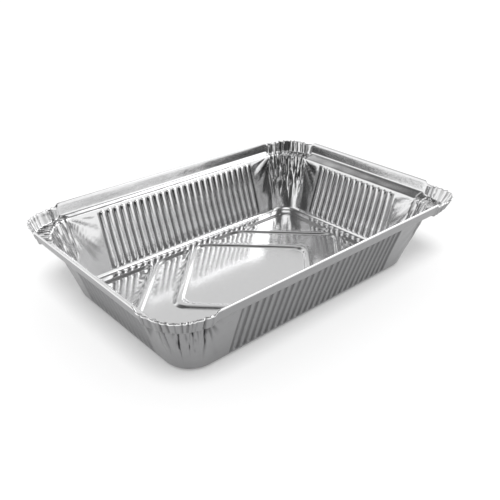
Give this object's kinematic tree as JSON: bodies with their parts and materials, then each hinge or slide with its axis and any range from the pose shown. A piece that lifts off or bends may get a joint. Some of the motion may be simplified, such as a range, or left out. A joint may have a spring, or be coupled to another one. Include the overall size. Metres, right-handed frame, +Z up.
{
  "type": "aluminium foil tray",
  "caption": "Rectangular foil food tray with fluted leaning walls, embossed floor, lid ledge, upstand with rolled hem and crimped corners.",
  "frame": {"origin": "middle of the underside, on the surface that the tray stands on", "axes": "+X along the tray, +Y across it, +Z up out of its mouth"},
  "size_m": [0.3152, 0.2172, 0.0685],
  "materials": {
    "foil": "bright rolled foil, finely wrinkled at the corners"
  },
  "bodies": {
    "root": {"foil_tray": "foil"}
  },
  "joints": []
}
